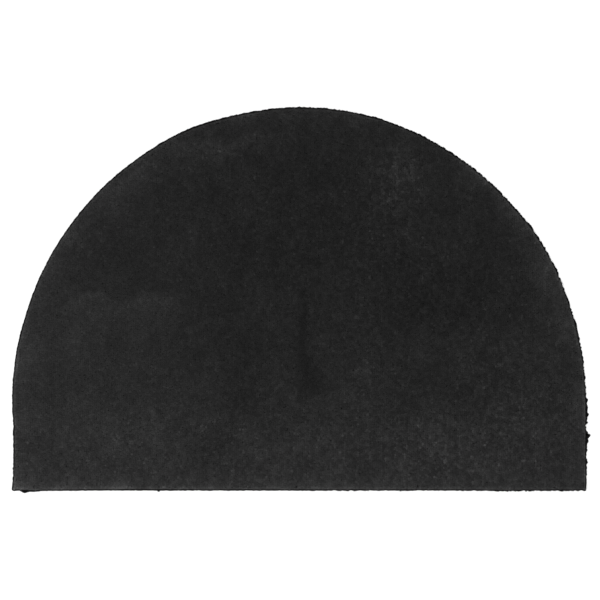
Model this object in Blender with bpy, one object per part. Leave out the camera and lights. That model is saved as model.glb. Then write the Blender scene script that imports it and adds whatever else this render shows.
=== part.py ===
"""Half round doormat, lying flat: a tufted cut pile fused to a black rubber sheet.

The straight edge faces -Y and the arc faces +Y. The origin is under the middle of the
mat's bounding box, and the floor is z = 0. Sizes below are in millimetres.
"""

import math
from collections import namedtuple

import bmesh
import bpy
from mathutils import Vector
from mathutils.geometry import delaunay_2d_cdt

MM = 0.001

# The plain half round shape that the mat was cut to
WIDTH = 750.0
DEPTH = 500.0
CORNER_RADIUS = 1.5
ARC_RADIUS = WIDTH / 2
SIDE = DEPTH - ARC_RADIUS

# The layers, from the floor up
RUBBER_THICK = 1.8
FUSE_GAP = 0.3
PILE_FOOT = RUBBER_THICK + FUSE_GAP
PILE_TOP = 8.0

# How finely the rim and the pile's top are divided, and the least room between points
RIM_STEP = 10.0
TOP_STEP = 15.0
CLEAR_OF_NUB = 2.0
CLEAR_OF_RIM = 9.0
LEAST_STEP = 0.5
WELD = 1e-6
SHARP_ANGLE = math.radians(50)

# Near a corner, both edges draw the pile's upper rows inward, over this length
MITRE = 15.0

# A walk round the plain shape, anticlockwise from the right side's lower end.
Run = namedtuple("Run", "name length turn")
RUNS = (
    Run("right side", SIDE - CORNER_RADIUS, 0.0),
    Run("arc", math.pi * ARC_RADIUS, math.pi),
    Run("left side", SIDE - CORNER_RADIUS, 0.0),
    Run("left corner", math.pi / 2 * CORNER_RADIUS, math.pi / 2),
    Run("straight edge", WIDTH - 2 * CORNER_RADIUS, 0.0),
    Run("right corner", math.pi / 2 * CORNER_RADIUS, math.pi / 2),
)
RIM_LENGTH = sum(run.length for run in RUNS)
LEFT_SIDE_TOP = RUNS[0].length + RUNS[1].length
LEFT_CORNER = LEFT_SIDE_TOP + RUNS[2].length

# The cut edge wanders in and out of the plain shape. along: the place on the walk.
# out: how far the rubber's edge stands outside the plain shape. back: how far the
# pile's rim stays behind the rubber's. rag: the height of the small waves left by the cut.
Wave = namedtuple("Wave", "along out back rag")
WAVES = (
    Wave(0, 0.0, 0.9, 0.10),
    Wave(30, 0.4, 1.3, 0.15),
    Wave(46, -0.6, 0.8, 0.15),
    Wave(56, 0.8, 1.8, 0.20),
    Wave(74, 0.8, 1.8, 0.20),
    Wave(81, -0.8, 0.7, 0.10),
    Wave(90, 0.6, 1.7, 0.20),
    Wave(112, 0.6, 1.7, 0.20),
    Wave(125, -0.8, 0.9, 0.20),
    Wave(150, -1.5, 0.8, 0.20),
    Wave(225, -2.6, 0.8, 0.40),
    Wave(260, -2.9, 0.8, 0.40),
    Wave(300, -1.8, 0.8, 0.45),
    Wave(350, -1.5, 0.8, 0.45),
    Wave(400, -2.6, 0.8, 0.40),
    Wave(500, -1.8, 0.8, 0.35),
    Wave(560, -0.5, 0.8, 0.30),
    Wave(620, 0.5, 0.8, 0.25),
    Wave(720, 0.6, 0.7, 0.15),
    Wave(785, -0.4, 0.7, 0.10),
    Wave(860, 1.0, 0.7, 0.10),
    Wave(970, -1.4, 0.7, 0.10),
    Wave(1070, -2.6, 0.7, 0.15),
    Wave(1190, -2.6, 0.7, 0.15),
    Wave(1255, -0.9, 0.7, 0.10),
    Wave(LEFT_SIDE_TOP, 0.1, 0.8, 0.10),
    Wave(LEFT_SIDE_TOP + 22, 0.1, 0.8, 0.10),
    Wave(LEFT_SIDE_TOP + 34, -1.2, 0.8, 0.10),
    Wave(LEFT_SIDE_TOP + 92, -1.3, 0.8, 0.15),
    Wave(LEFT_CORNER - 6, -0.3, 0.8, 0.10),
    Wave(LEFT_CORNER, 0.5, 0.9, 0.05),
    Wave(LEFT_CORNER + 8, -0.5, 0.9, 0.05),
    Wave(LEFT_CORNER + 16, 0.9, 1.0, 0.10),
    Wave(LEFT_CORNER + 30, 1.4, 0.9, 0.10),
    Wave(LEFT_CORNER + 44, 0.4, 0.8, 0.10),
    Wave(LEFT_CORNER + 130, -0.2, 0.7, 0.08),
    Wave(LEFT_CORNER + 430, 0.0, 0.7, 0.08),
    Wave(LEFT_CORNER + 600, 0.1, 0.7, 0.08),
    Wave(LEFT_CORNER + 645, 0.8, 0.7, 0.08),
    Wave(LEFT_CORNER + 690, 0.2, 0.7, 0.08),
    Wave(RIM_LENGTH, 0.5, 0.9, 0.10),
)

# The small waves of the cut: two that never fall into step, in whole turns round the rim.
# The pile's own waves are the same ones, a little further on.
Ripple = namedtuple("Ripple", "turns height start")
RIPPLES = (
    Ripple(97, 0.6, 0.0),
    Ripple(61, 0.4, 1.0),
)
PILE_RIPPLE_SHIFT = 4.0

# Rags of rubber that the knife left on the backing, and tufts that lean out of the pile's
# rim. wide: the nub's length along the rim. out: how far it stands off the rim there.
Nub = namedtuple("Nub", "along wide out")
RUBBER_RAGS = (
    Nub(36, 9, 0.9),
    Nub(63, 6, 0.9),
    Nub(71, 9, 3.2),
    Nub(87, 6, 0.9),
    Nub(98, 7, 1.6),
    Nub(107, 7, 1.2),
    Nub(117, 6, 0.9),
    Nub(LEFT_CORNER + 17, 13, 2.2),
    Nub(LEFT_CORNER + 29, 7, 0.4),
    Nub(LEFT_CORNER + 192, 5, 1.5),
)
LEANING_TUFTS = (
    Nub(275, 13, 1.4),
    Nub(306, 6, 0.8),
    Nub(350, 9, 1.1),
    Nub(367, 6, 1.0),
    Nub(412, 6, 0.7),
    Nub(438, 6, 0.8),
    Nub(475, 6, 0.7),
    Nub(524, 9, 1.0),
    Nub(551, 7, 1.0),
    Nub(603, 6, 0.9),
    Nub(639, 7, 1.1),
    Nub(1111, 6, 0.6),
    Nub(LEFT_SIDE_TOP + 97, 8, 1.8),
)

# The pile's side, from its foot to the flat of its top. inside: how far in from the
# pile's rim. up: the height, as a share of the way from the pile's foot to its top.
Row = namedtuple("Row", "inside up")
SIDE_ROWS = (
    Row(0.9, 0.00),
    Row(0.0, 0.30),
    Row(0.2, 0.62),
    Row(1.4, 0.86),
    Row(4.5, 0.98),
)

# Where feet, rolling and brushing have pressed or lifted the pile. x, y: the middle,
# from the middle of the straight edge. long, wide: half the size along and across.
# turn: the long way's angle from X in degrees. rise: how far the pile's top moves.
Press = namedtuple("Press", "name x y long wide turn rise")
PRESSES = (
    Press("middle crease", 8, 215, 115, 11, 91, -0.7),
    Press("ridge beside the crease", 75, 135, 75, 40, 60, 0.35),
    Press("left stroke", -265, 235, 60, 30, -5, 0.40),
    Press("left middle stroke", -185, 245, 42, 22, 8, 0.40),
    Press("lower left field", -230, 130, 110, 70, 15, 0.25),
    Press("upper left stroke", -125, 452, 55, 12, 18, 0.35),
    Press("upper right mottle", 115, 370, 55, 45, -50, 0.30),
    Press("right hollow", 205, 310, 70, 60, 0, -0.30),
    Press("top hollow", 5, 400, 60, 70, 0, -0.25),
    Press("low middle hollow", -95, 150, 60, 28, 0, -0.25),
    Press("straight edge lift", 0, 22, 330, 18, 0, 0.25),
    Press("left rim lift", -352, 165, 20, 45, 80, 0.35),
    Press("right field", 270, 90, 90, 60, 20, 0.20),
)

# The slow unevenness of the whole top. x, y: the size of one swell each way, over pi.
Swell = namedtuple("Swell", "x y rise")
SWELLS = (
    Swell(41.0, 33.0, 0.08),
    Swell(19.0, 27.0, 0.06),
)

# Colour, roughness and metallic value of each piece
Look = namedtuple("Look", "colour roughness metallic")
LOOKS = {
    "pile": Look((0.0194, 0.0194, 0.0194), 0.95, 0.0),
    "backing": Look((0.0035, 0.0035, 0.0035), 0.75, 0.0),
}


def walk(along):
    """The plain rim's point and its outward direction, this far along the walk."""
    here = Vector((ARC_RADIUS, CORNER_RADIUS))
    heading = math.pi / 2
    for run in RUNS:
        part = min(along, run.length)
        if run.turn:
            radius = run.length / run.turn
            centre = here + radius * Vector((-math.sin(heading), math.cos(heading)))
            heading += part / radius
            here = centre + radius * Vector((math.sin(heading), -math.cos(heading)))
        else:
            here = here + part * Vector((math.cos(heading), math.sin(heading)))
        along -= part
        if along <= 0.0:
            break
    return here, Vector((math.sin(heading), -math.cos(heading)))


def mitred(point, outward):
    """The way that the pile's side slopes: outward, and towards the corner near a corner."""
    near_side = max(0.0, 1.0 - (ARC_RADIUS - abs(point.x)) / MITRE)
    near_edge = max(0.0, 1.0 - point.y / MITRE)
    if not (near_side and near_edge):
        return outward
    across = math.copysign(max(abs(outward.x), near_side), point.x)
    return Vector((across, -max(abs(outward.y), near_edge)))


def wave(along):
    """The rubber's offset, the pile's setback and the small waves' height at this place."""
    for before, after in zip(WAVES, WAVES[1:]):
        if along <= after.along:
            share = (along - before.along) / (after.along - before.along)
            share = share * share * (3.0 - 2.0 * share)
            return tuple(a + (b - a) * share for a, b in zip(before[1:], after[1:]))
    return WAVES[-1][1:]


def rag(along):
    """The small waves of the cut, between -1 and 1."""
    angle = 2 * math.pi * along / RIM_LENGTH
    return sum(r.height * math.sin(r.turns * angle + r.start) for r in RIPPLES)


def nub_height(along, nubs):
    """How far the nubs reach out at this place: each is a cosine bump."""
    height = 0.0
    for nub in nubs:
        away = abs(along - nub.along) / (nub.wide / 2)
        if away < 1.0:
            height += nub.out * 0.5 * (1.0 + math.cos(math.pi * away))
    return height


def stations(nubs):
    """Places along the rim: even steps on each run, and five for each nub."""
    fine = []
    for nub in nubs:
        fine += [nub.along + nub.wide * share for share in (-0.5, -0.25, 0.0, 0.25, 0.5)]
    even = []
    start = 0.0
    for run in RUNS:
        count = max(2, round(run.length / RIM_STEP))
        even += [start + run.length * index / count for index in range(count)]
        start += run.length
    even = [place for place in even if all(abs(place - other) > CLEAR_OF_NUB for other in fine)]
    places = sorted(fine + even)
    return [place for place, before in zip(places, [-1.0] + places) if place - before > LEAST_STEP]


def rubber_rim():
    """The backing's outline, anticlockwise: the plain rim, its waves, ripples and rags."""
    rim = []
    for along in stations(RUBBER_RAGS):
        point, outward = walk(along)
        out, _, ragged = wave(along)
        out += ragged * rag(along) + nub_height(along, RUBBER_RAGS)
        rim.append(point + out * outward)
    return rim


def pile_rim():
    """The pile's outline, and which way its side slopes, anticlockwise."""
    rim = []
    for along in stations(LEANING_TUFTS):
        point, outward = walk(along)
        out, back, ragged = wave(along)
        out += ragged * rag(along + PILE_RIPPLE_SHIFT) - back + nub_height(along, LEANING_TUFTS)
        rim.append((point + out * outward, mitred(point, outward)))
    return rim


def pressed(x, y):
    """How far the pile's top is lifted or pressed here, with a slow unevenness added."""
    rise = sum(swell.rise * math.sin(x / swell.x) * math.sin(y / swell.y) for swell in SWELLS)
    for press in PRESSES:
        turn = math.radians(press.turn)
        along = (x - press.x) * math.cos(turn) + (y - press.y) * math.sin(turn)
        across = (y - press.y) * math.cos(turn) - (x - press.x) * math.sin(turn)
        rise += press.rise * math.exp(-(along / press.long) ** 2 - (across / press.wide) ** 2)
    return rise


def inside(point, ring):
    """Whether a point lies inside a closed outline, by counting crossings."""
    odd = False
    for a, b in zip(ring, ring[1:] + ring[:1]):
        if (a.y > point.y) != (b.y > point.y):
            if point.x < a.x + (point.y - a.y) * (b.x - a.x) / (b.y - a.y):
                odd = not odd
    return odd


def top_points(ring):
    """Staggered points over the pile's top, clear of its edge."""
    points = []
    row_step = TOP_STEP * math.sqrt(3) / 2
    for row in range(int(DEPTH / row_step) + 1):
        shift = TOP_STEP / 2 if row % 2 else 0.0
        for column in range(-int(WIDTH / 2 / TOP_STEP) - 1, int(WIDTH / 2 / TOP_STEP) + 2):
            point = Vector((column * TOP_STEP + shift, (row + 0.5) * row_step))
            clear = min((point - corner).length for corner in ring)
            if clear > CLEAR_OF_RIM and inside(point, ring):
                points.append(point)
    return points


def material(name):
    """A Principled material with the piece's colour, roughness and metallic value."""
    look = LOOKS[name]
    made = bpy.data.materials.new(name)
    made.use_nodes = True
    shader = made.node_tree.nodes["Principled BSDF"]
    shader.inputs["Base Color"].default_value = (*look.colour, 1.0)
    shader.inputs["Roughness"].default_value = look.roughness
    shader.inputs["Metallic"].default_value = look.metallic
    return made


def make_backing(collection, rim, middle):
    """The rubber sheet: its cut outline, filled and extruded."""
    curve = bpy.data.curves.new("backing", "CURVE")
    curve.dimensions = "2D"
    curve.fill_mode = "BOTH"
    curve.extrude = RUBBER_THICK / 2 * MM
    outline = curve.splines.new("POLY")
    outline.points.add(len(rim) - 1)
    for place, point in zip(outline.points, rim):
        flat = (point - middle) * MM
        place.co = (flat.x, flat.y, 0.0, 1.0)
    outline.use_cyclic_u = True
    backing = bpy.data.objects.new("backing", curve)
    backing.location.z = RUBBER_THICK / 2 * MM
    backing.data.materials.append(material("backing"))
    collection.objects.link(backing)


def make_pile(collection, rim, middle):
    """The pile: rings up its rounded side, and a top that rises and falls gently."""
    shape = bmesh.new()

    def add(point, up):
        height = PILE_FOOT + up * (PILE_TOP + pressed(point.x, point.y) - PILE_FOOT)
        return shape.verts.new((*((point - middle) * MM), height * MM))

    rings = [[point - row.inside * outward for point, outward in rim] for row in SIDE_ROWS]
    lofts = [[add(point, row.up) for point in ring] for row, ring in zip(SIDE_ROWS, rings)]
    for lower, upper in zip(lofts, lofts[1:]):
        for index in range(len(rim)):
            following = (index + 1) % len(rim)
            shape.faces.new((lower[index], lower[following], upper[following], upper[index]))
    shape.faces.new(list(reversed(lofts[0])))

    edge = rings[-1]
    loop = list(range(len(edge)))
    points = edge + top_points(edge)
    _, _, faces, _, _, _ = delaunay_2d_cdt(points, [], [loop], 1, WELD)
    corners = lofts[-1] + [add(point, 1.0) for point in points[len(edge):]]
    for face in faces:
        shape.faces.new([corners[index] for index in face])

    mesh = bpy.data.meshes.new("pile")
    bmesh.ops.recalc_face_normals(shape, faces=shape.faces)
    shape.to_mesh(mesh)
    shape.free()
    mesh.shade_smooth()
    mesh.set_sharp_from_angle(angle=SHARP_ANGLE)
    pile = bpy.data.objects.new("pile", mesh)
    pile.data.materials.append(material("pile"))
    collection.objects.link(pile)


def main():
    for old in list(bpy.data.objects):
        bpy.data.objects.remove(old, do_unlink=True)
    collection = bpy.data.collections.new("half_round_doormat")
    bpy.context.scene.collection.children.link(collection)

    rubber = rubber_rim()
    pile = pile_rim()
    reach = rubber + [point for point, _ in pile]
    middle = Vector((
        (min(point.x for point in reach) + max(point.x for point in reach)) / 2,
        (min(point.y for point in reach) + max(point.y for point in reach)) / 2,
    ))
    make_backing(collection, rubber, middle)
    make_pile(collection, pile, middle)


main()
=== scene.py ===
# %% [markdown]
# # A half round doormat of cut pile on black rubber
#
# The mat is one tufted cloth, fused to a thin rubber sheet and cut out with a knife. Seen from
# above it is a charcoal field with a fine grain, lighter where feet and brushing have laid the
# pile over. This lesson builds it the way it is made: rubber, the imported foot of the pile, then
# some fifty thousand tufts of yarn. Lengths are in millimetres until a mesh is made.

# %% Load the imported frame
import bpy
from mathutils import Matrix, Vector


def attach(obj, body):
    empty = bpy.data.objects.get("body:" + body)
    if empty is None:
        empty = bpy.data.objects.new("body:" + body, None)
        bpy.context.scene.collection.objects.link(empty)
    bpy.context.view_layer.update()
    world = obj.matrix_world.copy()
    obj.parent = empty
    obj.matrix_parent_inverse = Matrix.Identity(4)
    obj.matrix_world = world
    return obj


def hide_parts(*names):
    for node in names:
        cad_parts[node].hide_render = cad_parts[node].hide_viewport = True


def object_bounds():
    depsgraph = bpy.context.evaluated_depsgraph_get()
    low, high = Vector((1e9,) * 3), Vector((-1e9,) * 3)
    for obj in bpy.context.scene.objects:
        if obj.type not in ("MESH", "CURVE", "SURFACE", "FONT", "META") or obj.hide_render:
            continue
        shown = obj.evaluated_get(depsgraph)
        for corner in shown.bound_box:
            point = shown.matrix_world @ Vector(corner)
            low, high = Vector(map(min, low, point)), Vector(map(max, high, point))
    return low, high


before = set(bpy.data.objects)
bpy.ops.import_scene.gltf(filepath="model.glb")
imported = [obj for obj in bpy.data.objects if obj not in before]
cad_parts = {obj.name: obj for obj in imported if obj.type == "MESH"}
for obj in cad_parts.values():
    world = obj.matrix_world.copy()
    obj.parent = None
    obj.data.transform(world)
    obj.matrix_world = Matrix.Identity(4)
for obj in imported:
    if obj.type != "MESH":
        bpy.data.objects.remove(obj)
cad_box = [list(corner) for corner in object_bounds()]

from collections import namedtuple

import bpy
import numpy as np
from mathutils import Vector

MM = 0.001
print("CAD box in mm:", [[round(value / MM, 1) for value in corner] for corner in cad_box])

# %% [markdown]
# ## Reading the outline off the frame
#
# The frame's two solids already have the mat's outline, with each small wave that the knife left.
# So nothing is drawn again: the points of a solid that lie in one level band are its rim there.
# Both outlines can be seen whole from the middle, so sorting by angle puts the points in order.

# %% Outlines of the rubber and of the pile
RUBBER_TOP = 1.8
PILE_TOP = 8.0
PILE_WIDEST = (3.3, 4.5)  # the band of heights where the pile's solid reaches furthest


def node_points(node):
    """The separate corner points of a frame node, in millimetres, one row each."""
    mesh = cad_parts[node].data
    flat = np.empty(len(mesh.vertices) * 3, np.float32)
    mesh.vertices.foreach_get("co", flat)
    return np.unique(np.round(flat.reshape(-1, 3) / MM, 3), axis=0)


def rim_of(node, low, high):
    """The points of a node between two heights, in order of their angle about the middle."""
    points = node_points(node)
    band = points[(points[:, 2] >= low) & (points[:, 2] <= high), :2]
    return band[np.argsort(np.arctan2(band[:, 1], band[:, 0]))].astype(float)


rubber_rim = rim_of("backing", -0.1, 0.1)
pile_rim = rim_of("pile", *PILE_WIDEST)
print("rim points, rubber and pile:", len(rubber_rim), len(pile_rim))

# %% [markdown]
# ## Helpers for outlines
#
# A walk along an outline gives evenly spaced places for the tufts of the rim. The distance in
# from an outline says which stitches lie on the mat and how near its edge they are. It is worked
# out for some thousands of points at once, against all stretches of the outline.

# %% Walking along a rim, and the distance in from it
POINTS_AT_A_TIME = 4000


def batches(count):
    """The numbers below count, in groups small enough to work on at once."""
    return np.array_split(np.arange(count), count // POINTS_AT_A_TIME + 1)


def rim_length(rim):
    """The length of a closed outline: the sum of its stretches."""
    return np.linalg.norm(np.roll(rim, -1, 0) - rim, axis=1).sum()


def walk_rim(rim, count):
    """Points at count equal steps along a closed outline, and the outward direction at each.

    The place is read off the running length. Outward is the tangent turned a quarter clockwise.
    """
    closed = np.vstack([rim, rim[:1]])
    running = np.concatenate([[0.0], np.cumsum(np.linalg.norm(np.diff(closed, axis=0), axis=1))])
    places = np.arange(count) / count * running[-1]
    points = np.column_stack([np.interp(places, running, closed[:, axis]) for axis in (0, 1)])
    tangent = np.roll(points, -1, 0) - np.roll(points, 1, 0)
    outward = np.column_stack([tangent[:, 1], -tangent[:, 0]])
    return points, outward / np.linalg.norm(outward, axis=1, keepdims=True)


def in_from(points, rim):
    """How far each point lies inside an outline, negative outside, and the way out from it.

    The foot on each stretch is its start plus a clipped share of it; the nearest foot counts.
    """
    run = np.roll(rim, -1, 0) - rim
    out = np.column_stack([run[:, 1], -run[:, 0]]) / np.linalg.norm(run, axis=1)[:, None]
    depth, outward = np.empty(len(points)), np.empty((len(points), 2))
    for some in batches(len(points)):
        offset = points[some, None] - rim[None]
        share = np.clip((offset * run).sum(2) / (run ** 2).sum(1), 0.0, 1.0)
        gap = offset - share[..., None] * run
        near = np.argmin((gap ** 2).sum(2), axis=1)
        gap = gap[np.arange(len(some)), near]
        side = np.where((gap * out[near]).sum(1) > 0.0, -1.0, 1.0)
        depth[some] = side * np.linalg.norm(gap, axis=1)
        outward[some] = out[near]
    return depth, outward


print("rim lengths:", round(rim_length(rubber_rim)), round(rim_length(pile_rim)))

# %% [markdown]
# ## Slow changes over the mat
#
# A pile is never even. Value noise gives slow changes: random heights on a square lattice, joined
# by smooth steps. The height of the pile's top comes from the frame's solid, averaged between its
# points, so that the crease and the lifted places stay where they are.

# %% Smooth noise, and the height of the pile's top
LATTICE = 256
TOP_BLUR = 11.0  # the width of the bell curve that averages the top
TOP_INSIDE, TOP_ABOVE = 4.0, 6.0  # only points this far in and this high belong to the top
Layer = namedtuple("Layer", "size amount")  # noise of one size, and how much of it is added


def noise(points, size, seed):
    """Value noise from -1 to 1 at flat points, with lattice cells of this size."""
    lattice = np.random.default_rng(seed).uniform(-1.0, 1.0, (LATTICE, LATTICE))
    place = points / size
    cell = np.floor(place).astype(int)
    share = place - cell
    share = share * share * (3.0 - 2.0 * share)
    x, y = share[:, 0], share[:, 1]

    def corner(right, up):
        return lattice[(cell[:, 0] + right) % LATTICE, (cell[:, 1] + up) % LATTICE]

    lower = corner(0, 0) * (1 - x) + corner(1, 0) * x
    upper = corner(0, 1) * (1 - x) + corner(1, 1) * x
    return lower * (1 - y) + upper * y


solid = node_points("pile")
solid_top = solid[in_from(solid[:, :2].astype(float), pile_rim)[0] > TOP_INSIDE]
solid_top = solid_top[solid_top[:, 2] > TOP_ABOVE]


def top_height(points):
    """The pile's height over each point: the solid's top points, weighed by a bell curve."""
    height = np.empty(len(points))
    for some in batches(len(points)):
        away = ((points[some, None] - solid_top[None, :, :2]) ** 2).sum(2)
        weight = np.exp(-away / (2 * TOP_BLUR ** 2))
        height[some] = (weight * solid_top[:, 2]).sum(1) / weight.sum(1)
    return height


print("pile top from", solid_top[:, 2].min(), "to", solid_top[:, 2].max())

# %% [markdown]
# ## Where the pile is lighter or darker
# Yarn laid over shows its flank and closes the gaps, which looks lighter; yarn that stands shows
# dark gaps. Each row below is one such place on the mat: its middle, its length and width, the
# width of its upper side, how far it is turned, its tone and its roughness. The rows were set,
# and corrected by measured tones until the render matched the photograph. The tone is in stops,
# as a photographer counts: +1 is twice as light. A place fades as a bell curve, and its upper
# side has a width of its own, because a stroke of the hand ends crisply on one side. Roughness is
# for places where feet have opened the yarn: the grain is stronger there.

# %% The laid and the standing places, with painted light and shade
Place = namedtuple("Place", "name x y long wide upper turn stops rough")
# The stops paint light and shade into the tone: lighter where the pile is laid over, darker where
# it stands, and painted shade in the crease and the hollows. The roughness is wear.
PAINTED_LIGHT_SHADE_AND_WEAR = (
    Place("straight edge", -40, -262, 480, 30, 30, 0, 0.90, 0.0),
    Place("straight edge, left half", -270, -256, 150, 14, 12, 0, 0.70, 0.0),
    Place("straight edge, pale spot", -266, -254, 13, 8, 8, 0, 0.40, 0.0),
    Place("straight edge, dark spot", -305, -254, 16, 8, 8, 0, -0.25, 0.0),
    Place("lower field", 0, -195, 480, 60, 85, 0, 0.45, 0.6),
    Place("left field", -310, -125, 120, 120, 110, 0, 0.46, -0.2),
    Place("left rim", -380, -30, 28, 110, 100, 0, 1.04, 0.0),
    Place("left rim, lower half", -374, -88, 24, 26, 26, 0, 0.26, 0.0),
    Place("lower left corner", -375, -256, 28, 24, 30, 0, 1.10, 0.0),
    Place("left stroke", -262, 3, 52, 50, 4, -2, 0.50, 0.0),
    Place("left middle stroke", -190, 4, 36, 28, 4, 6, 0.44, 0.0),
    Place("stroke low on the left", -180, -200, 40, 60, 60, 0, 0.30, 0.0),
    Place("left of the arc", -335, 65, 80, 34, 32, 66, 0.52, 0.0),
    Place("right rim", 378, -90, 20, 230, 100, 0, 0.72, 0.0),
    Place("right of the arc", 332, 28, 60, 30, 28, -66, 0.82, 0.0),
    Place("right rim, upper half", 360, -40, 30, 24, 24, 0, 0.34, 0.0),
    Place("right rim, dark stretch", 348, -112, 28, 22, 22, 0, -0.20, 0.0),
    Place("lower right field", 300, -140, 100, 80, 90, 0, 0.14, 0.6),
    Place("lower right speckle", 180, -190, 80, 40, 40, 0, 0.28, 0.4),
    Place("arc's left rim", -230, 155, 130, 20, 16, 46, 0.62, 0.0),
    Place("arc's top rim, left", -70, 243, 46, 12, 14, 8, 0.70, 0.0),
    Place("arc's top rim, right", 84, 243, 50, 12, 14, -10, 0.54, 0.0),
    Place("upper left stroke", -112, 206, 60, 22, 5, 12, 0.58, 0.4),
    Place("upper left field", -185, 150, 60, 70, 40, 40, 0.12, 0.0),
    Place("arc's right rim", 251, 157, 130, 15, 16, -50, 0.62, 0.2),
    Place("arc's right rim, upper end", 222, 172, 32, 12, 14, -46, 0.30, 0.0),
    Place("upper right mottle", 122, 145, 36, 56, 56, -10, 0.40, 1.2),
    Place("crease's upper half", 2, -18, 6, 36, 36, 0, -0.60, 0.0),
    Place("crease's lower half", 11, -90, 9, 30, 34, 12, -0.60, 0.0),
    Place("crease's foot", 17, -116, 13, 12, 16, 0, -0.20, 0.0),
    Place("round the crease", 12, -100, 30, 30, 32, 0, -0.20, 0.0),
    Place("beside the crease", 74, -85, 34, 55, 45, 15, 0.25, 0.4),
    Place("above the lower field", 60, -157, 130, 12, 18, 0, -0.16, 0.0),
    Place("right hollow", 190, 10, 90, 95, 95, 0, -0.42, 0.8),
    Place("middle hollow", -10, 95, 125, 130, 110, 0, -0.48, 0.5),
    Place("low middle hollow", -74, -135, 28, 48, 80, 0, -0.46, 0.2),
)
print("places:", len(PAINTED_LIGHT_SHADE_AND_WEAR))

# %% [markdown]
# ## The tone of a tuft
#
# Noise of four sizes covers the whole field, and a fifth, as fine as the stitches, is the grain.
# Now and then a tuft is much paler, a speck, where it has come untwisted. Slow noise also moves
# the places about, so that no edge is a smooth curve; the narrow crease is moved less.

# %% The tone at any point of the mat
EVEN_STOPS = -0.03  # the tone of the whole field
LAYERS = (Layer(60, 0.16), Layer(27, 0.12), Layer(13, 0.11), Layer(6.5, 0.135))
GRAIN = Layer(3.0, 0.32)
SPECK_MM, SPECK_FROM, SPECK_STOPS = 3.0, 0.5, 0.85  # only noise above SPECK_FROM makes a speck
WARPS = (Layer(34, 9.0), Layer(9, 4.0))  # here the amounts are millimetres
WARPED_WHOLE = 20.0  # a place shorter than this is moved by a share of the warp only
LAYER_SEED, SPECK_SEED, GRAIN_SEED, WARP_SEED = 40, 51, 52, 60


def tone_and_painted_light_of(points):
    """The tone at flat points: 2 to the power of a sum in stops.

    The sum is the even tone, each place's stops times its bell curve, which is painted light and
    shade, and the noise layers. The grain and the specks are added times 1 plus each place's
    roughness times its bell curve.
    """
    moved = points.copy()
    for number, warp in enumerate(WARPS):
        for axis in (0, 1):
            seed = WARP_SEED + 2 * number + axis
            moved[:, axis] += warp.amount * noise(points, warp.size, seed)
    stops, rough = np.full(len(points), EVEN_STOPS), np.ones(len(points))
    for place in PAINTED_LIGHT_SHADE_AND_WEAR:
        turn = np.radians(place.turn)
        share = min(1.0, place.long / WARPED_WHOLE)
        x, y = (points + share * (moved - points) - (place.x, place.y)).T
        along = x * np.cos(turn) + y * np.sin(turn)
        across = y * np.cos(turn) - x * np.sin(turn)
        width = np.where(across > 0.0, place.upper, place.wide)
        here = np.exp(-((along / place.long) ** 2) - (across / width) ** 2)
        # painted light and shade of the place: lighter laid pile, darker standing pile, crease and
        # hollows
        stops += place.stops * here
        rough += place.rough * here
    for number, layer in enumerate(LAYERS):
        stops += layer.amount * noise(points, layer.size, LAYER_SEED + number)
    speck = noise(points, SPECK_MM, SPECK_SEED) - SPECK_FROM
    grain = GRAIN.amount * noise(points, GRAIN.size, GRAIN_SEED)
    stops += rough * (grain + SPECK_STOPS * np.maximum(speck, 0.0))
    return 2.0 ** stops


samples = tone_and_painted_light_of(np.array([[0.0, 100.0], [6.0, -60.0], [-300.0, -100.0]]))
print("tone of the middle, the crease and the left:", np.round(samples, 2))

# %% [markdown]
# ## Putting arrays into meshes
#
# Blender takes whole arrays at once, which is the only quick way to fifty thousand tufts. A mesh
# is its points, the corner numbers of all faces in one row, and how many corners each face has.

# %% A mesh piece from arrays
def piece_of(name, points, corners, sizes, material):
    """A smooth mesh object whose points are in millimetres, with its faces' corners in a row."""
    mesh = bpy.data.meshes.new(name)
    mesh.vertices.add(len(points))
    mesh.vertices.foreach_set("co", (points * MM).astype(np.float32).ravel())
    mesh.loops.add(len(corners))
    mesh.loops.foreach_set("vertex_index", corners.astype(np.int32))
    mesh.polygons.add(len(sizes))
    starts = np.concatenate([[0], np.cumsum(sizes)[:-1]])
    mesh.polygons.foreach_set("loop_start", starts.astype(np.int32))
    mesh.update(calc_edges=True)
    mesh.shade_smooth()
    mesh.materials.append(material)
    piece = bpy.data.objects.new(name, mesh)
    bpy.context.scene.collection.objects.link(piece)
    return piece


def add_attribute(piece, name, values):
    """One number for each point of the piece, which its material reads by this name."""
    layer = piece.data.attributes.new(name, "FLOAT", "POINT")
    layer.data.foreach_set("value", values.astype(np.float32))


# %% [markdown]
# ## Closed slabs
#
# The rubber and the pile's packed foot are both slabs with the mat's outline. Each is one grid:
# round the outline one way, and the other way from the middle of the top, out over the edge and
# back to the middle underneath. A row of the grid is the outline drawn towards the middle by a
# share, then moved in by a few millimetres. The two middles are closed with fans.

# %% A slab from an outline and a profile
Ring = namedtuple("Ring", "share inside height")


def slab(rim, outward, rings):
    """Points, corners and face sizes of a closed slab.

    Ring by ring, a point is (rim point - inside * outward) * share, at height, which is a number
    or one for each point. The first and the last ring are single points.
    """
    count = len(rim)
    rows = [[0.0, 0.0, rings[0].height]]
    for ring in rings[1:-1]:
        flat = (rim - ring.inside * outward) * ring.share
        rows.append(np.column_stack([flat, np.broadcast_to(ring.height, count)]))
    rows.append([0.0, 0.0, rings[-1].height])
    points = np.vstack(rows)

    here = np.arange(count)
    after = (here + 1) % count
    first = 1 + np.arange(len(rings) - 3)[:, None] * count
    quads = np.stack([first + here, first + count + here, first + count + after, first + after], 2)
    top = np.column_stack([np.zeros(count, int), 1 + here, 1 + after])
    last = len(points) - 1
    bottom = np.column_stack([np.full(count, last), last - count + after, last - count + here])
    corners = np.concatenate([top.ravel(), quads.ravel(), bottom.ravel()])
    sizes = np.concatenate([np.full(count, 3), np.full(quads[..., 0].size, 4), np.full(count, 3)])
    return points, corners, sizes


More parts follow.
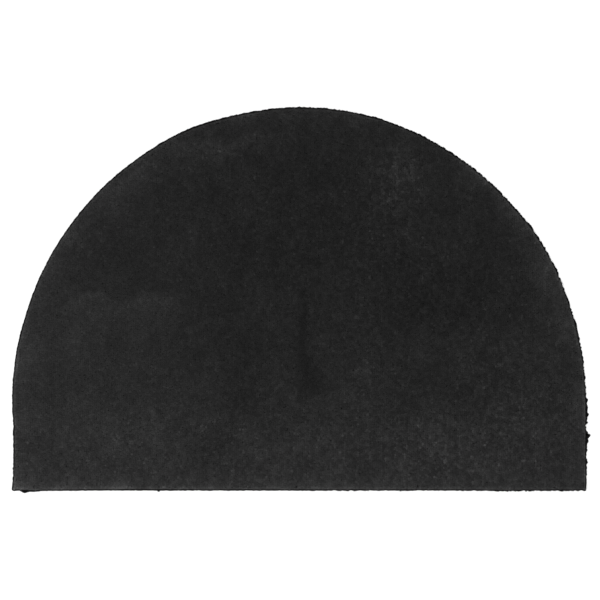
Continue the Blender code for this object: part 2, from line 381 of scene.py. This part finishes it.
square = np.array([[1.0, -1.0], [1.0, 1.0], [-1.0, 1.0], [-1.0, -1.0]])
box_rings = [Ring(0, 0, 1.0), Ring(1, 0, 1.0), Ring(1, 0, 0.0), Ring(0, 0, 0.0)]
print("faces of a slab with a square outline:", len(slab(square, square, box_rings)[2]))

# %% [markdown]
# ## Colours and nodes for the finishes
#
# Colours are written as the hex values that a screen shows, and one function turns them into the
# linear numbers that light is reckoned in. Another adds a node, sets it and joins it up.

# %% Helpers for materials
def linear(code):
    """A hex colour as linear red, green, blue and alpha, by the sRGB curve."""
    shown = [int(code[start:start + 2], 16) / 255 for start in (1, 3, 5)]
    return (*[s / 12.92 if s <= 0.04045 else ((s + 0.055) / 1.055) ** 2.4 for s in shown], 1.0)


def add_node(tree, kind, settings=(), values=(), links=()):
    """Adds a node: its settings, its inputs' values, and links from (node, output) to an input."""
    node = tree.nodes.new(kind)
    for name, value in dict(settings).items():
        setattr(node, name, value)
    for name, value in dict(values).items():
        node.inputs[name].default_value = value
    for name, (source, output) in dict(links).items():
        tree.links.new(source.outputs[output], node.inputs[name])
    return node


def new_material(name, values):
    """A material with one Principled shader whose even values sit on its own sockets."""
    made = bpy.data.materials.new(name)
    made.use_nodes = True
    shader = made.node_tree.nodes["Principled BSDF"]
    for socket, value in values.items():
        shader.inputs[socket].default_value = value
    return made, made.node_tree, shader


print("a mid grey on the screen is", round(linear("#808080")[0], 3), "of full light")

# %% [markdown]
# ## The yarn
#
# The pile is cut, twisted nylon yarn, dyed in the melt to a neutral charcoal. Its ends are
# bundles of fibres 0.03 mm across, far too fine to show, so they are drawn coarser, as grain of
# 0.35 mm. Fibres run up the yarn, so the grain is drawn out in height: dots on a cut end, and
# short upright streaks on a flank. Fibres trap most of the light that shines off their skin, so
# the specular level is low, and a little sheen gives the soft, dusty look at a low angle. The
# refraction index is nylon's. The tone comes from each tuft, and flecks somewhat narrower than
# its end keep two neighbours from being the same.

# %% Charcoal nylon yarn, cut
FIBRE_GRAIN_MM = 0.35
FIBRE_DRAW = 0.15  # the grain's height is read at this share, which draws it out upwards
FLECK_MM = 1.6
FIBRE_BUMP_MM = 0.3
NOISE_LOW, NOISE_HIGH = 0.3, 0.7  # nearly all of the noise node's values lie between these
GRAIN_DARK, GRAIN_LIGHT = 0.55, 1.45
FLECK_DARK, FLECK_LIGHT = 0.92, 1.08
CHARCOAL = "#1e1e1e"


def charcoal_cut_nylon():
    """Yarn whose colour is CHARCOAL times the tuft's tone, the fleck and the fibres' grain."""
    made, tree, shader = new_material("charcoal_cut_nylon", {
        "Roughness": 0.92, "Specular IOR Level": 0.04, "IOR": 1.53,
        "Sheen Weight": 0.03, "Sheen Roughness": 0.5,
    })
    place = add_node(tree, "ShaderNodeTexCoord")
    drawn_out = add_node(tree, "ShaderNodeVectorMath", {"operation": "MULTIPLY"})
    drawn_out.inputs[1].default_value = (1.0, 1.0, FIBRE_DRAW)
    tree.links.new(place.outputs["Object"], drawn_out.inputs[0])
    grain = add_node(tree, "ShaderNodeTexNoise", {"noise_dimensions": "3D"},
                     {"Scale": 1 / (FIBRE_GRAIN_MM * MM), "Detail": 2.0},
                     {"Vector": (drawn_out, "Vector")})
    fleck = add_node(tree, "ShaderNodeTexNoise", {"noise_dimensions": "3D"},
                     {"Scale": 1 / (FLECK_MM * MM), "Detail": 1.0}, {"Vector": (place, "Object")})
    tone = add_node(tree, "ShaderNodeAttribute", {"attribute_name": "tone"})
    grain_share = add_node(tree, "ShaderNodeMapRange", (),
                           {"From Min": NOISE_LOW, "From Max": NOISE_HIGH,
                            "To Min": GRAIN_DARK, "To Max": GRAIN_LIGHT},
                           {"Value": (grain, "Fac")})
    fleck_share = add_node(tree, "ShaderNodeMapRange", (),
                           {"To Min": FLECK_DARK, "To Max": FLECK_LIGHT},
                           {"Value": (fleck, "Fac")})
    both = add_node(tree, "ShaderNodeMath", {"operation": "MULTIPLY"})
    tree.links.new(grain_share.outputs["Result"], both.inputs[0])
    tree.links.new(fleck_share.outputs["Result"], both.inputs[1])
    whole = add_node(tree, "ShaderNodeMath", {"operation": "MULTIPLY"})
    tree.links.new(both.outputs[0], whole.inputs[0])
    tree.links.new(tone.outputs["Fac"], whole.inputs[1])
    dyed = add_node(tree, "ShaderNodeVectorMath", {"operation": "SCALE"})
    dyed.inputs[0].default_value = linear(CHARCOAL)[:3]
    tree.links.new(whole.outputs[0], dyed.inputs["Scale"])
    tree.links.new(dyed.outputs[0], shader.inputs["Base Color"])
    bump = add_node(tree, "ShaderNodeBump", (), {"Strength": 0.9, "Distance": FIBRE_BUMP_MM * MM},
                    {"Height": (grain, "Fac")})
    tree.links.new(bump.outputs["Normal"], shader.inputs["Normal"])
    return made


yarn = charcoal_cut_nylon()
print(yarn.name, "has", len(yarn.node_tree.nodes), "nodes")

# %% [markdown]
# ## The rubber
#
# The backing is a nitrile rubber sheet, pressed in a mould, which leaves a dull, faintly
# leathery skin with a grain of just under a millimetre. Carbon makes it as black as a thing gets,
# and its wax keeps the shine low. The refraction index is that of rubber.

# %% Moulded nitrile rubber
MOULD_GRAIN_MM = 0.8
MOULD_BUMP_MM = 0.1
CARBON_BLACK, DUSTED_BLACK = "#050505", "#0b0b0b"
LEAST_DULL, MOST_DULL = 0.62, 0.85
MIX_A, MIX_B, MIX_RESULT = 6, 7, 2  # the Mix node's colours in and out, by number


def moulded_nitrile_rubber():
    """Near-black rubber with a moulded grain in its bump, its tone and its roughness."""
    made, tree, shader = new_material("moulded_nitrile_rubber", {
        "IOR": 1.52, "Specular IOR Level": 0.05,
    })
    place = add_node(tree, "ShaderNodeTexCoord")
    grain = add_node(tree, "ShaderNodeTexNoise", (),
                     {"Scale": 1 / (MOULD_GRAIN_MM * MM), "Detail": 3.0},
                     {"Vector": (place, "Object")})
    dull = add_node(tree, "ShaderNodeMapRange", (), {"To Min": LEAST_DULL, "To Max": MOST_DULL},
                    {"Value": (grain, "Fac")})
    tree.links.new(dull.outputs["Result"], shader.inputs["Roughness"])
    black = add_node(tree, "ShaderNodeMix", {"data_type": "RGBA"}, (), {"Factor": (grain, "Fac")})
    black.inputs[MIX_A].default_value = linear(CARBON_BLACK)
    black.inputs[MIX_B].default_value = linear(DUSTED_BLACK)
    tree.links.new(black.outputs[MIX_RESULT], shader.inputs["Base Color"])
    bump = add_node(tree, "ShaderNodeBump", (), {"Strength": 0.5, "Distance": MOULD_BUMP_MM * MM},
                    {"Height": (grain, "Fac")})
    tree.links.new(bump.outputs["Normal"], shader.inputs["Normal"])
    return made


rubber = moulded_nitrile_rubber()
print(rubber.name, "has", len(rubber.node_tree.nodes), "nodes")

# %% [markdown]
# ## The rubber sheet
#
# A knife through rubber leaves crumbs, small on the left and larger on the right, where the
# blade dragged. The frame's outline has the broad waves. Here it is walked in steps of about a
# millimetre, and fine noise adds the crumbs. The blade was not held upright, so all round but
# for the ragged right side the edge leans out by half a millimetre. The rags that can be told
# apart are placed one by one, where the edge of a render and that of the photograph were
# measured to differ; a negative reach is a bite out of the edge.

# %% Crumbs and rags of the cut
RUBBER_STEP = 0.9
CRUMBS = (Layer(2.0, 1.0), Layer(5.0, 0.5))
CRUMB_LEFT, CRUMB_RIGHT = 0.33, 0.90
CRUMB_SEED = 11
LEFT_X, RIGHT_X = -250, 250  # between these the crumbs grow evenly
RAGGED_SIDE_X = 365.0
CUT_LEAN = 0.45
Rag = namedtuple("Rag", "x y reach long")
RAGS = (
    Rag(375, -118, 0.9, 3), Rag(376, -141.5, 0.9, 2), Rag(376, -146, -1.5, 1.4),
    Rag(376, -150.5, 1.4, 2), Rag(376, -162.5, 2.4, 2), Rag(377, -172.5, -1.0, 2),
    Rag(377, -178, 1.7, 2), Rag(377, -184, 2.0, 5), Rag(376, -193, 0.9, 4),
    Rag(376, -209.5, 1.3, 3.5), Rag(376, -240, 0.6, 4), Rag(-377, -220, 1.9, 1.5),
    Rag(-367, -251, 0.6, 2), Rag(-354, -251, 0.7, 2),
)
print("rags:", len(RAGS))

# %% [markdown]
# ## From the cut edge to the sheet
#
# The rim is moved out by its crumbs, its rags and its lean. The slab's rings then give the edge
# its small rounding above and below, as far as a knife leaves any.

# %% The backing
rim, outward = walk_rim(rubber_rim, round(rim_length(rubber_rim) / RUBBER_STEP))
crumb = sum(layer.amount * noise(rim, layer.size, CRUMB_SEED + number)
            for number, layer in enumerate(CRUMBS))
crumb *= np.interp(rim[:, 0], (LEFT_X, RIGHT_X), (CRUMB_LEFT, CRUMB_RIGHT))
reach = np.where(rim[:, 0] > RAGGED_SIDE_X, crumb, crumb + CUT_LEAN)
for rag in RAGS:
    away = np.linalg.norm(rim - (rag.x, rag.y), axis=1)
    reach += rag.reach * np.exp(-((away / rag.long) ** 2))
rim = rim + reach[:, None] * outward
rubber_rings = [
    Ring(0.0, 0.0, RUBBER_TOP), Ring(0.5, 0.0, RUBBER_TOP), Ring(1.0, 3.0, RUBBER_TOP),
    Ring(1.0, 0.45, RUBBER_TOP), Ring(1.0, 0.25, RUBBER_TOP - 0.15), Ring(1.0, 0.08, 0.9),
    Ring(1.0, 0.0, 0.25), Ring(1.0, 0.2, 0.0), Ring(1.0, 3.0, 0.0), Ring(0.5, 0.0, 0.0),
    Ring(0.0, 0.0, 0.0),
]
rubber_sheet = piece_of("rubber_sheet", *slab(rim, outward, rubber_rings), rubber)
print("rubber sheet:", len(rubber_sheet.data.polygons), "faces")

# %% [markdown]
# ## The imported foot of the pile
#
# Deep down the tufts are pressed together and no gap is left between them. That part is one
# thin slab, fused to the rubber's top, up to a little over half the pile's height, and the free
# ends of the tufts grow out of it. Its top follows the pile's top, and its edge stays inside the
# last tufts, which hide it. It is the tufted cloth itself, laid flat. Little light gets down
# between the tufts, which is why its tone is below 1.

# %% The pile's foot
FUSED = 1.85  # the height of the seam with the rubber
FOOT_TOP = 5.4
FOOT_STEP = 3.0
# painted shade of the pile's foot, where little light gets down between the tufts
FOOT_PAINTED_SHADE = 0.85
SHARES = (0.12, 0.24, 0.36, 0.48, 0.6, 0.7, 0.8, 0.88, 0.94)  # of the way out to the rim

rim, outward = walk_rim(pile_rim, round(rim_length(pile_rim) / FOOT_STEP))
over = [Ring(share, 0.0, FOOT_TOP + top_height(rim * share) - PILE_TOP) for share in SHARES]
foot_rings = [
    Ring(0.0, 0.0, FOOT_TOP), *over, Ring(1.0, 5.0, FOOT_TOP), Ring(1.0, 3.2, FOOT_TOP - 0.6),
    Ring(1.0, 2.2, FOOT_TOP - 1.5), Ring(1.0, 1.9, 3.0), Ring(1.0, 1.5, FUSED),
    Ring(1.0, 5.0, FUSED), Ring(0.5, 0.0, FUSED), Ring(0.0, 0.0, FUSED),
]
foot = piece_of("pile_foot", *slab(rim, outward, foot_rings), yarn)
# The foot's tone is painted shade, for the little light that gets down between the tufts.
add_attribute(foot, "tone", np.full(len(foot.data.vertices), FOOT_PAINTED_SHADE))
print("pile's foot:", len(foot.data.polygons), "faces")

# %% [markdown]
# ## Where the needles put the tufts
#
# A tufting machine has a row of needles a tenth of an inch apart, and the cloth runs under it
# from the straight edge to the arc, so the stitches stand in rows that run that way. Each needle
# starts at its own moment, and each stitch is a little off.

# %% Stitches of the field
GAUGE = 2.54  # from needle to needle
STITCH = 2.46  # from stitch to stitch along a row
STITCH_OFF = 0.24  # how far a stitch is off its place, as a spread
RIM_ROOM = 3.4  # the field's stitches keep this far from the outline
DICE_SEED = 7

dice = np.random.default_rng(DICE_SEED)
half_width, half_depth = cad_box[1][0] / MM, cad_box[1][1] / MM
rows = np.arange(-half_width, half_width, GAUGE)
stitches = np.arange(-half_depth, half_depth, STITCH)
grid_x, grid_y = np.meshgrid(rows, stitches, indexing="ij")
grid_y = grid_y + dice.uniform(0.0, STITCH, len(rows))[:, None]
field = np.column_stack([grid_x.ravel(), grid_y.ravel()])
field += dice.normal(0.0, STITCH_OFF, field.shape)
field_depth, field_out = in_from(field, pile_rim)
inner = field_depth > RIM_ROOM
field, field_depth, field_out = field[inner], field_depth[inner], field_out[inner]
print("tufts in the field:", len(field))

# %% [markdown]
# ## Two rows along the rim
#
# Along the rim the knife leaves rows of its own, which follow the outline: the last whole tufts,
# and under them a skirt of tufts cut short. Each of these two rows has a distance in from the
# outline, a step along it, the radius of its crowns, how much lower they end than the field's,
# and the height of their roots. The field keeps clear of both. In the end all tufts are put in
# order from left to right.

# %% Roots of all the tufts
RIM_OFF = 0.12
Row = namedtuple("Row", "inside step crown lower root")
RIM_ROWS = (Row(2.75, 1.75, 1.65, 0.9, 3.0), Row(2.0, 1.7, 1.2, 2.5, 1.9))
CROWN = 2.15  # the radius of a field tuft's crown
ROOT = 3.6  # the height of a field tuft's root

roots, out, depth = [field], [field_out], [field_depth]
shapes = [np.tile((CROWN, 0.0, ROOT), (len(field), 1))]
for row in RIM_ROWS:
    edge, edge_out = walk_rim(pile_rim, round(rim_length(pile_rim) / row.step))
    inside = row.inside + dice.normal(0.0, RIM_OFF, len(edge))
    roots.append(edge - inside[:, None] * edge_out)
    out.append(edge_out)
    depth.append(np.full(len(edge), row.inside))
    shapes.append(np.tile((row.crown, row.lower, row.root), (len(edge), 1)))
order = np.argsort(np.vstack(roots)[:, 0], kind="stable")
roots, out, shapes = (np.vstack(parts)[order] for parts in (roots, out, shapes))
depth = np.concatenate(depth)[order]
crown, lower, root_z = shapes.T
print("tufts in all:", len(roots))

# %% [markdown]
# ## How each tuft stands
#
# A tuft leans with its neighbours, where a foot or a hand has laid them over, and a little on
# its own. Near the rim nothing holds it on one side, so it leans out. The heights follow the
# frame's solid, with a slow wave and a spread of a tenth of a millimetre from the shears, and
# less at the very edge, where the pile is rounded off.

# %% Lean, height and tone of the tufts
REST_LEAN = (0.0, -0.25)  # how far the tips of the whole pile lie from their roots
NAP_LEAN = 0.55
NAP_SIZES = ((34, 12), (38, 14))  # wide and narrow strokes, across the mat and up it
NARROW_SHARE = 0.6
NAP_SEED = 21
OWN_LEAN = 0.28  # the lean of a single tuft, as a spread
RIM_LEAN, RIM_REACH = 0.75, 2.6  # the lean out at the rim, and the distance over which it fades
SHORN_BELOW, SHORN_SPREAD = 0.35, 0.12
SHORN_WAVE, WAVE_SEED = Layer(6.0, 0.18), 31
ROUNDED_BY, ROUNDED_REACH = 0.4, 4.0
DYE_SPREAD = 0.03  # in stops

# Each tuft's tone: its random tone and grain, with the painted light and shade of the places.
tone = tone_and_painted_light_of(roots)
nap = np.column_stack([
    noise(roots, wide, NAP_SEED + 2 * axis)
    + NARROW_SHARE * noise(roots, narrow, NAP_SEED + 2 * axis + 1)
    for axis, (wide, narrow) in enumerate(NAP_SIZES)
])
lean = np.array(REST_LEAN) + NAP_LEAN * nap + dice.normal(0.0, OWN_LEAN, roots.shape)
to_rim = np.exp(-depth / RIM_REACH)[:, None]
lean = lean * (1.0 - to_rim) + RIM_LEAN * to_rim * out
height = top_height(roots) - SHORN_BELOW + dice.normal(0.0, SHORN_SPREAD, len(roots))
height += SHORN_WAVE.amount * noise(roots, SHORN_WAVE.size, WAVE_SEED)
height -= lower + ROUNDED_BY * np.exp(-((depth / ROUNDED_REACH) ** 2))
tone *= 2.0 ** dice.normal(0.0, DYE_SPREAD, len(roots))
print("lean up to", round(float(np.linalg.norm(lean, axis=1).max()), 2), "mm")

# %% [markdown]
# ## One tuft
#
# A tuft is a little bundle that opens towards its cut end: five sides, a narrow foot sunk in the
# packed pile, a wider crown, and a raised middle. That is eighteen triangles, and few enough for
# all of them. On its own map a tuft has one small cell: the crown lies in the middle of it, the
# flanks round it and the sole in a corner.

# %% The tuft's faces and its cell on the map
SIDES = 5
TIP, TOP, FOOT = 0, 1, 1 + SIDES  # where the tip, the crown and the foot start among its points
CROWN_ON_MAP, FLANKS_ON_MAP = 0.27, 0.44  # radii as shares of a cell
SOLE_AT, SOLE_ON_MAP = 0.08, 0.05

turn = np.arange(SIDES)
following = (turn + 1) % SIDES
cap = np.column_stack([np.full(SIDES, TIP), TOP + turn, TOP + following])
flanks = np.column_stack([TOP + turn, FOOT + turn, FOOT + following, TOP + following])
sole = FOOT + turn[::-1]
TUFT_CORNERS = np.concatenate([cap.ravel(), flanks.ravel(), sole])
TUFT_SIZES = np.concatenate([np.full(SIDES, 3), np.full(SIDES, 4), [SIDES]])
TUFT_POINTS = 1 + 2 * SIDES

angle = 2 * np.pi * turn / SIDES
circle = np.column_stack([np.cos(angle), np.sin(angle)])
cell_points = 0.5 + np.vstack([[[0.0, 0.0]], CROWN_ON_MAP * circle, FLANKS_ON_MAP * circle])
sole_points = SOLE_AT + SOLE_ON_MAP * circle[::-1]
TUFT_CELL = np.vstack([cell_points[TUFT_CORNERS[:-SIDES]], sole_points])
print("a tuft has", TUFT_POINTS, "points and", len(TUFT_SIZES), "faces")

# %% [markdown]
# ## The shapes of many tufts
#
# The corners of a crown differ in reach and height, as cut fibres do, and the crown tips the way
# the tuft leans. All the tufts of a strip are worked out in one go, each with its own turn.

# %% Points of many tufts
FOOT_SHARE = 0.55  # the foot's radius as a share of the crown's
REACH_FROM, REACH_TO = 0.84, 1.14  # as shares of the crown's radius
DROP_FROM, DROP_TO = 0.05, 0.25  # below the tip
TIPPED = 0.20  # how much lower for each millimetre of lean


def tuft_points(some, own):
    """The points of the tufts numbered in some, with dice of their own.

    The tip is the root plus the lean, at the tuft's height. Crown corner k is the tip plus
    radius * reach in direction k, lower by its drop and by TIPPED * lean along k. Foot corner k is
    the root plus FOOT_SHARE * radius in direction k, at the root's height.
    """
    count = len(some)
    start = own.uniform(0.0, 2 * np.pi, count)[:, None] + angle[None]
    ways = np.stack([np.cos(start), np.sin(start)], axis=2)
    tip = roots[some] + lean[some]
    wide = crown[some][:, None, None]
    reach = wide * own.uniform(REACH_FROM, REACH_TO, (count, SIDES, 1))
    drop = own.uniform(DROP_FROM, DROP_TO, (count, SIDES))
    top_z = height[some][:, None] - drop - TIPPED * (ways * lean[some][:, None]).sum(2)
    points = np.empty((count, TUFT_POINTS, 3))
    points[:, TIP, :2], points[:, TIP, 2] = tip, height[some]
    points[:, TOP:FOOT, :2], points[:, TOP:FOOT, 2] = tip[:, None] + reach * ways, top_z
    points[:, FOOT:, :2] = roots[some][:, None] + FOOT_SHARE * wide * ways
    points[:, FOOT:, 2] = root_z[some][:, None]
    return points


print("crown radii in mm:", np.unique(crown))

# %% [markdown]
# ## The tones of many tufts, with painted shade and a painted highlight
#
# Two tones are added to the tuft's own. Its crown is a little darker than its tip and its foot
# darker still: painted shade, for the light that does not get down there. And all round the mat, a
# few millimetres in from the edge, where the outermost tufts turn their flanks up and catch the
# light, a thin pale line is painted as a highlight, from the distance of each corner from the
# outline.

# %% Tones of the corners, with painted shade and a painted highlight
# The crown's painted shade, and the painted highlight along the rim: its stops, its distance in
# from the rim and its width.
CROWN_PAINTED_SHADE = 0.98
PAINTED_HIGHLIGHT_STOPS, PAINTED_HIGHLIGHT_INSIDE, PAINTED_HIGHLIGHT_WIDE = 0.80, 2.6, 1.2


def tuft_tones_and_painted_light(points, some):
    """The tone of each point: the tuft's own, times the painted shade of the foot or the crown,
    times a painted highlight.

    The painted highlight is 2 to the power of its stops times a bell curve of the distance in from
    the rim.
    """
    # Painted shade: the crown a little darker than the tip, the foot darker still.
    depth_shade = np.ones(TUFT_POINTS)
    depth_shade[TOP:FOOT], depth_shade[FOOT:] = CROWN_PAINTED_SHADE, FOOT_PAINTED_SHADE
    shade = tone[some][:, None] * depth_shade
    # A painted highlight: a thin pale line a few millimetres in from the rim.
    outwards = ((points[:, :FOOT, :2] - roots[some][:, None]) * out[some][:, None]).sum(2)
    inside = depth[some][:, None] - outwards
    shade[:, :FOOT] *= 2.0 ** (PAINTED_HIGHLIGHT_STOPS * np.exp(-((inside - PAINTED_HIGHLIGHT_INSIDE) / PAINTED_HIGHLIGHT_WIDE) ** 2))
    return shade


print("tones of the tufts, least and most:", np.round([tone.min(), tone.max()], 2))

# %% [markdown]
# ## The pile in five strips
#
# One mesh of fifty thousand tufts would be too large to hand on, so the roots, which are in
# order from left to right, are dealt out to five strips with the same number of tufts. On the map
# of a strip the cells of its tufts fill a square, row by row.

# %% Growing the pile
STRIPS = ("tufts_left", "tufts_left_middle", "tufts_middle", "tufts_right_middle", "tufts_right")
STRIP_SEED = 50


def strip_of_pile(name, some, seed):
    """One piece of all the tufts numbered in some, with their tones and their map."""
    count = len(some)
    points = tuft_points(some, np.random.default_rng(seed))
    corners = (TUFT_CORNERS[None] + TUFT_POINTS * np.arange(count)[:, None]).ravel()
    piece = piece_of(name, points.reshape(-1, 3), corners, np.tile(TUFT_SIZES, count), yarn)
    # The tone carries each tuft's painted shade and painted highlight.
    add_attribute(piece, "tone", tuft_tones_and_painted_light(points, some).ravel())
    cells = int(np.ceil(np.sqrt(count)))
    cell = np.column_stack([np.arange(count) % cells, np.arange(count) // cells])
    chart = (cell[:, None] + TUFT_CELL[None]) / cells
    layer = piece.data.uv_layers.new(name="OFBake")
    layer.data.foreach_set("uv", chart.astype(np.float32).ravel())
    return piece


dealt = np.array_split(np.arange(len(roots)), len(STRIPS))
pile = [strip_of_pile(name, some, STRIP_SEED + number)
        for number, (name, some) in enumerate(zip(STRIPS, dealt))]
for strip in pile:
    strip.data.calc_loop_triangles()
    print(strip.name, len(strip.data.loop_triangles), "triangles")

# %% [markdown]
# ## What stands for what
#
# The rubber sheet stands for the frame's backing, and the foot with its tufts for the pile. All
# of it is one body. The tufted cloth was cut as a half round from a piece of 0.755 m by 0.504 m.

# %% Ties to the frame
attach(rubber_sheet, "root")
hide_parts("backing")
for piece in (foot, *pile):
    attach(piece, "root")
    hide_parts("pile")
print("pieces tied to the frame:", len([rubber_sheet, foot, *pile]))

# %% [markdown]
# ## Floor and light
#
# The mat was photographed from straight above on pure white. A pale floor, an even white sky and
# one wide lamp give the same soft light.

# %% The floor and the light
FLOOR_HALF, FLOOR_Z = 8.0, -0.05  # in metres and in millimetres
PALE, WHITE = (0.9, 0.9, 0.9, 1.0), (1.0, 1.0, 1.0, 1.0)
SKY_STRENGTH = 0.9
LAMP_LONG, LAMP_WIDE, LAMP_WATTS = 1.6, 1.2, 42.0
LAMP_PLACE = (-0.35, -0.35, 2.7)

floor_material, _, _ = new_material("pale_floor", {
    "Base Color": PALE, "Roughness": 0.9, "Specular IOR Level": 0.1,
})
corners_xy = np.array([[-1, -1], [1, -1], [1, 1], [-1, 1]]) * FLOOR_HALF / MM
floor = piece_of("floor", np.column_stack([corners_xy, np.full(4, FLOOR_Z)]), np.arange(4),
                 np.array([4]), floor_material)

world = bpy.data.worlds.new("white_sky")
world.use_nodes = True
sky = world.node_tree.nodes["Background"]
sky.inputs["Color"].default_value = WHITE
sky.inputs["Strength"].default_value = SKY_STRENGTH
bpy.context.scene.world = world

lamp = bpy.data.lights.new("wide_lamp", "AREA")
lamp.shape = "RECTANGLE"
lamp.size, lamp.size_y = LAMP_LONG, LAMP_WIDE
lamp.energy = LAMP_WATTS
lamp_stand = bpy.data.objects.new("wide_lamp", lamp)
lamp_stand.location = LAMP_PLACE
lamp_stand.rotation_euler = (-lamp_stand.location).to_track_quat("-Z", "Y").to_euler()
bpy.context.scene.collection.objects.link(lamp_stand)
print("lamp's height in metres:", LAMP_PLACE[2])

# %% [markdown]
# ## The camera
#
# It is far off with a long lens, so that the mat is seen as flat as on the photograph, at the
# same size and place. The outline that shows is the rubber's edge, so the scale is taken at its
# height.

# %% A camera straight above
PIXELS = 600
PIXEL_PER_MM = 0.7655
VIEW_MIDDLE = (-1.2, 0.1)
LENS, SENSOR = 200.0, 36.0
EDGE_LEVEL = 1.0

camera_data = bpy.data.cameras.new("camera_above")
camera_data.lens, camera_data.sensor_width = LENS, SENSOR
camera = bpy.data.objects.new("camera_above", camera_data)
far = PIXELS / PIXEL_PER_MM * LENS / SENSOR
camera.location = Vector((*VIEW_MIDDLE, EDGE_LEVEL + far)) * MM
bpy.context.scene.collection.objects.link(camera)
bpy.context.scene.camera = camera
bpy.context.scene.view_settings.view_transform = "Standard"
print("camera height in mm:", round(far))
